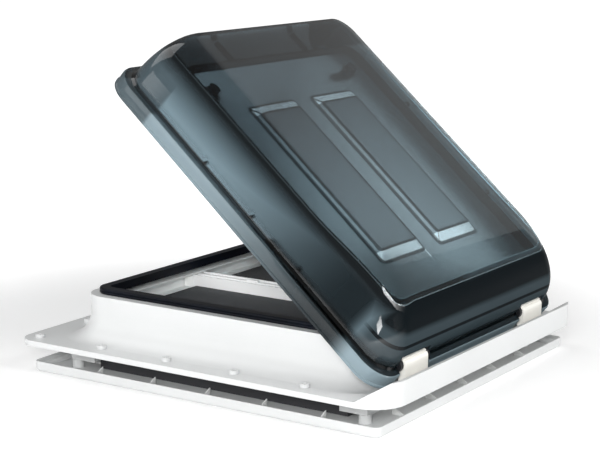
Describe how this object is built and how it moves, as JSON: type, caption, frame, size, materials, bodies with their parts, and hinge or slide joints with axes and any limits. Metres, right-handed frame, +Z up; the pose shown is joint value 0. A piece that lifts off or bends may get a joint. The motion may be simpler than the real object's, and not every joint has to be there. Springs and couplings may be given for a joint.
{
  "type": "roof vent cover",
  "caption": "Square caravan roof vent, smoked double dome hinged open on a white flanged frame, with pull blinds and a ceiling trim.",
  "frame": {"origin": "middle of the roof cut-out, in the plane of the flange's underside, which lies on the roof", "axes": "+X along the hinge, +Y from the hinge side to the free side, +Z up out of the roof"},
  "size_m": [0.482, 0.49, 0.3949],
  "materials": {
    "white_plastic": "smooth, half-gloss white",
    "cream_plastic": "smooth, half-gloss off-white",
    "grey_plastic": "matt pale grey",
    "black_plastic": "matt black",
    "smoked_acrylic": "polished, see-through smoked blue-grey",
    "clear_acrylic": "polished, see-through, lightly smoked",
    "seal_rubber": "satin black",
    "steel": "plain zinc-plated",
    "aluminium_tube": "plain drawn",
    "screen_fabric": "fine dark grey mesh",
    "blackout_fabric": "close dark grey weave"
  },
  "bodies": {
    "root": {"outer_frame": "white_plastic", "frame_seal": "seal_rubber", "hinge_bracket_left": "cream_plastic", "hinge_bracket_right": "cream_plastic", "hinge_bush_left": "black_plastic", "hinge_bush_right": "black_plastic", "bracket_screws": "steel", "ceiling_trim": "white_plastic", "trim_screws": "steel", "trim_screw_caps": "white_plastic", "guide_rail_hinge_side": "grey_plastic", "guide_rail_free_side": "grey_plastic", "screen_cassette": "black_plastic", "blackout_cassette": "black_plastic", "cassette_end_caps": "black_plastic", "roller_axles": "steel", "duct_screws": "steel", "screen_cloth": "screen_fabric", "blackout_cloth": "blackout_fabric"},
    "dome": {"dome_shell": "smoked_acrylic", "inner_pane": "clear_acrylic", "pane_spacers": "black_plastic", "lip_clips": "black_plastic", "hinge_leaf_left": "black_plastic", "hinge_leaf_right": "black_plastic", "hinge_pin_left": "steel", "hinge_pin_right": "steel", "latch_base_left": "black_plastic", "latch_base_right": "black_plastic", "latch_screws": "steel"},
    "latch_left": {"latch_lever_left": "black_plastic"},
    "latch_right": {"latch_lever_right": "black_plastic"},
    "screen_bar": {"screen_pull_bar": "white_plastic", "screen_bar_glides": "grey_plastic", "bar_catch": "white_plastic"},
    "blackout_bar": {"blackout_pull_bar": "white_plastic", "blackout_bar_glides": "grey_plastic"},
    "screen_winder": {"screen_roller": "aluminium_tube", "screen_roller_plugs": "black_plastic", "screen_roller_spring": "steel", "screen_cloth_roll": "screen_fabric"},
    "blackout_winder": {"blackout_roller": "aluminium_tube", "blackout_roller_plugs": "black_plastic", "blackout_roller_spring": "steel", "blackout_cloth_roll": "blackout_fabric"}
  },
  "joints": [
    {"name": "dome_hinge", "type": "hinge", "parent": "root", "child": "dome", "pos_m": [0, -0.218, 0.032], "axis": [1, 0, 0], "range_deg": [-41, 19]},
    {"name": "latch_left_turn", "type": "hinge", "parent": "dome", "child": "latch_left", "pos_m": [-0.148, 0.04618, 0.28749], "axis": [0, -0.6561, 0.7547], "range_deg": [0, 90]},
    {"name": "latch_right_turn", "type": "hinge", "parent": "dome", "child": "latch_right", "pos_m": [0.148, 0.04618, 0.28749], "axis": [0, 0.6561, -0.7547], "range_deg": [0, 90]},
    {"name": "screen_slide", "type": "slide", "parent": "root", "child": "screen_bar", "axis": [1, 0, 0], "range_m": [-0.15, 0], "deforming": ["screen_cloth"]},
    {"name": "blackout_slide", "type": "slide", "parent": "root", "child": "blackout_bar", "axis": [1, 0, 0], "range_m": [0, 0.126], "deforming": ["blackout_cloth"]},
    {"name": "screen_winder_turn", "type": "hinge", "parent": "root", "child": "screen_winder", "pos_m": [-0.16825, 0, 0.0243], "axis": [0, 1, 0], "range_deg": [-850, 0]},
    {"name": "blackout_winder_turn", "type": "hinge", "parent": "root", "child": "blackout_winder", "pos_m": [0.16825, 0, 0.0243], "axis": [0, 1, 0], "range_deg": [0, 715]}
  ],
  "couplings": [
    {"joint": "screen_winder_turn", "follows": "screen_slide", "rad_per_m": 98},
    {"joint": "blackout_winder_turn", "follows": "blackout_slide", "rad_per_m": 98}
  ]
}
